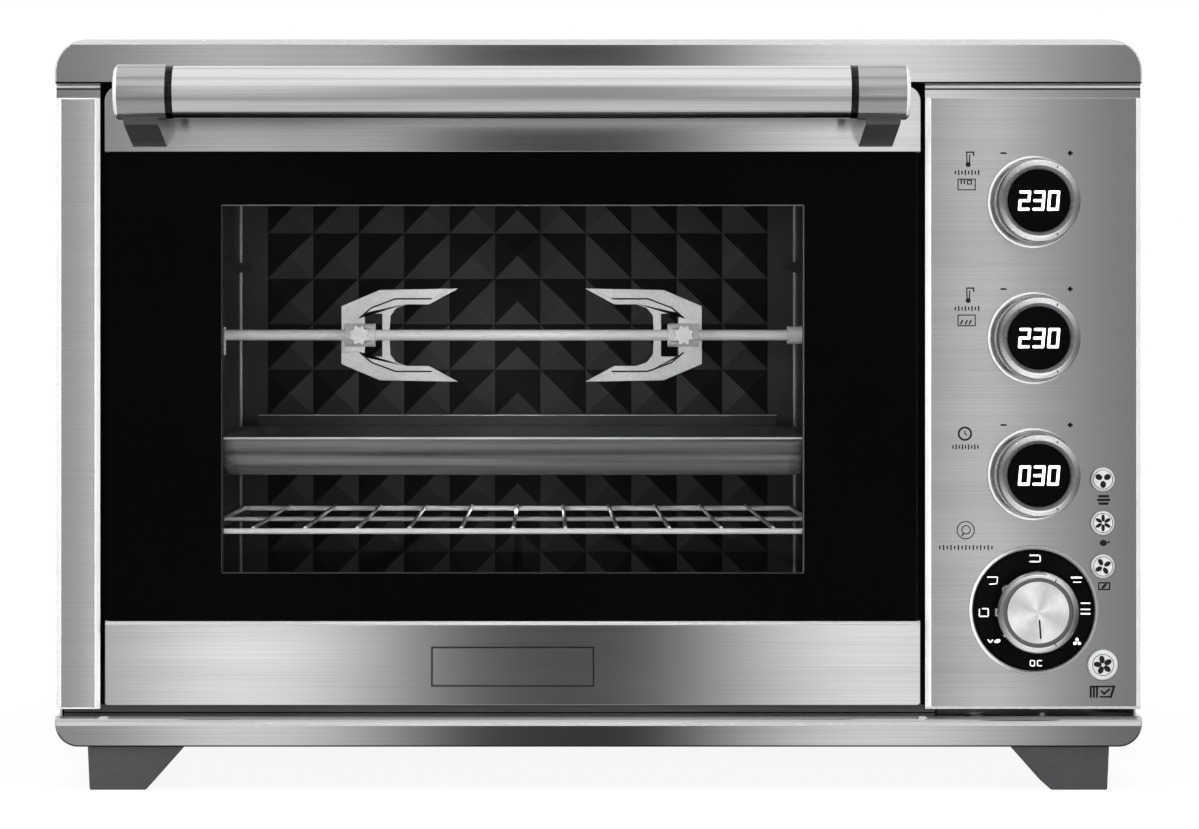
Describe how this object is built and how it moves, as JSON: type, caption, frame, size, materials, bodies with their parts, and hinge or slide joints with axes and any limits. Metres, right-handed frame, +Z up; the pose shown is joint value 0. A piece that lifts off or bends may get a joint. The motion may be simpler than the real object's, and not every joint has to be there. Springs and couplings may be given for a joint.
{
  "type": "electric countertop oven",
  "caption": "Brushed-steel countertop oven with a drop-down glass door, tube handle, rotisserie spit, tray, rack and a column of display knobs and push buttons.",
  "frame": {"origin": "on the table under the middle of the overall box, handle included", "axes": "+X to the right seen from the front, +Y to the back, +Z up"},
  "size_m": [0.56, 0.457, 0.387],
  "materials": {
    "brushed_steel": "brushed",
    "zinc_sheet": "satin",
    "foot_plastic": "matte",
    "black_plastic": "matte",
    "silicone": "matte",
    "dark_enamel": "gloss",
    "heater_sheath": "satin",
    "ceramic": "matte",
    "motor_steel": "satin",
    "circuit_board": "satin",
    "display_black": "gloss",
    "chrome": "polished",
    "stamped_steel": "satin",
    "button_plastic": "gloss",
    "glass": "clear",
    "black_paint": "matte",
    "handle_steel": "satin",
    "tray_enamel": "satin",
    "aluminium": "satin"
  },
  "bodies": {
    "cabinet": {"cabinet_wrap": "brushed_steel", "top_cap": "brushed_steel", "left_post": "brushed_steel", "control_fascia": "brushed_steel", "base_rail": "brushed_steel", "base_pan": "zinc_sheet", "rear_panel": "zinc_sheet", "feet": "foot_plastic", "cord_gland": "black_plastic", "front_frame": "zinc_sheet", "door_gasket": "silicone", "cavity_left_wall": "dark_enamel", "cavity_right_wall": "dark_enamel", "cavity_floor": "dark_enamel", "cavity_ceiling": "dark_enamel", "back_wall": "dark_enamel", "control_partition": "zinc_sheet", "upper_heaters": "heater_sheath", "lower_heaters": "heater_sheath", "heater_bushings": "ceramic", "spit_bracket": "stamped_steel", "rotisserie_motor": "motor_steel", "fan_motor": "motor_steel", "display_board": "circuit_board", "encoder_rings": "black_plastic", "displays": "display_black", "function_switch": "black_plastic", "button_board": "circuit_board", "power_board": "circuit_board", "knob_bezels": "chrome", "dial_plate": "display_black", "door_hinges": "zinc_sheet"},
    "door": {"door_top_rail": "brushed_steel", "door_bottom_rail": "brushed_steel", "door_glass": "glass", "glass_backing_frame": "black_paint", "door_inner_glass": "glass", "door_inner_panel": "black_paint", "handle_tube": "handle_steel", "handle_brackets": "brushed_steel", "handle_rings": "black_plastic"},
    "upper_heat_knob": {"upper_heat_knob": "chrome"},
    "lower_heat_knob": {"lower_heat_knob": "chrome"},
    "timer_knob": {"timer_knob": "chrome"},
    "function_knob": {"function_knob": "chrome"},
    "lamp_button": {"lamp_button": "button_plastic"},
    "fan_button": {"fan_button": "button_plastic"},
    "spit_button": {"spit_button": "button_plastic"},
    "start_button": {"start_button": "button_plastic"},
    "spit": {"spit_rod": "chrome", "spit_drive": "chrome"},
    "left_fork": {"left_fork": "stamped_steel"},
    "right_fork": {"right_fork": "stamped_steel"},
    "left_thumbscrew": {"left_thumbscrew": "stamped_steel"},
    "right_thumbscrew": {"right_thumbscrew": "stamped_steel"},
    "fan": {"fan_rotor": "aluminium"},
    "baking_tray": {"baking_tray": "tray_enamel"},
    "wire_rack": {"wire_rack": "chrome"},
    "crumb_tray": {"crumb_tray": "tray_enamel"}
  },
  "joints": [
    {"name": "door_hinge", "type": "hinge", "parent": "cabinet", "child": "door", "pos_m": [-0.0442, -0.1625, 0.05], "axis": [1, 0, 0], "range_deg": [0, 85]},
    {"name": "timer_knob_turn", "type": "hinge", "parent": "cabinet", "child": "timer_knob", "pos_m": [0.224, -0.1715, 0.163], "axis": [0, -1, 0], "continuous": true},
    {"name": "lower_heat_knob_turn", "type": "hinge", "parent": "cabinet", "child": "lower_heat_knob", "pos_m": [0.224, -0.1715, 0.233], "axis": [0, -1, 0], "continuous": true},
    {"name": "upper_heat_knob_turn", "type": "hinge", "parent": "cabinet", "child": "upper_heat_knob", "pos_m": [0.224, -0.1715, 0.303], "axis": [0, -1, 0], "continuous": true},
    {"name": "function_knob_turn", "type": "hinge", "parent": "cabinet", "child": "function_knob", "pos_m": [0.224, -0.1715, 0.093], "axis": [0, -1, 0], "range_deg": [0, 315]},
    {"name": "lamp_button_press", "type": "slide", "parent": "cabinet", "child": "lamp_button", "axis": [0, 1, 0], "range_m": [0, 0.0016], "stiffness_N_per_m": 250},
    {"name": "fan_button_press", "type": "slide", "parent": "cabinet", "child": "fan_button", "axis": [0, 1, 0], "range_m": [0, 0.0016], "stiffness_N_per_m": 250},
    {"name": "spit_button_press", "type": "slide", "parent": "cabinet", "child": "spit_button", "axis": [0, 1, 0], "range_m": [0, 0.0016], "stiffness_N_per_m": 250},
    {"name": "start_button_press", "type": "slide", "parent": "cabinet", "child": "start_button", "axis": [0, 1, 0], "range_m": [0, 0.0016], "stiffness_N_per_m": 250},
    {"name": "spit_turn", "type": "hinge", "parent": "cabinet", "child": "spit", "pos_m": [-0.0442, -0.0064, 0.235], "axis": [1, 0, 0], "continuous": true},
    {"name": "left_fork_slide", "type": "slide", "parent": "spit", "child": "left_fork", "axis": [1, 0, 0], "range_m": [-0.025, 0.025]},
    {"name": "right_fork_slide", "type": "slide", "parent": "spit", "child": "right_fork", "axis": [1, 0, 0], "range_m": [-0.025, 0.025]},
    {"name": "left_thumbscrew_turn", "type": "hinge", "parent": "left_fork", "child": "left_thumbscrew", "pos_m": [-0.1307, -0.0064, 0.235], "axis": [0, -1, 0], "continuous": true},
    {"name": "right_thumbscrew_turn", "type": "hinge", "parent": "right_fork", "child": "right_thumbscrew", "pos_m": [0.0493, -0.0064, 0.235], "axis": [0, -1, 0], "continuous": true},
    {"name": "fan_turn", "type": "hinge", "parent": "cabinet", "child": "fan", "pos_m": [0.1228, 0.0676, 0.19], "axis": [1, 0, 0], "continuous": true},
    {"name": "tray_slide", "type": "slide", "parent": "cabinet", "child": "baking_tray", "axis": [0, -1, 0], "range_m": [0, 0.01]},
    {"name": "rack_slide", "type": "slide", "parent": "cabinet", "child": "wire_rack", "axis": [0, -1, 0], "range_m": [0, 0.01]},
    {"name": "crumb_tray_slide", "type": "slide", "parent": "cabinet", "child": "crumb_tray", "axis": [0, -1, 0], "range_m": [0, 0.01]}
  ]
}
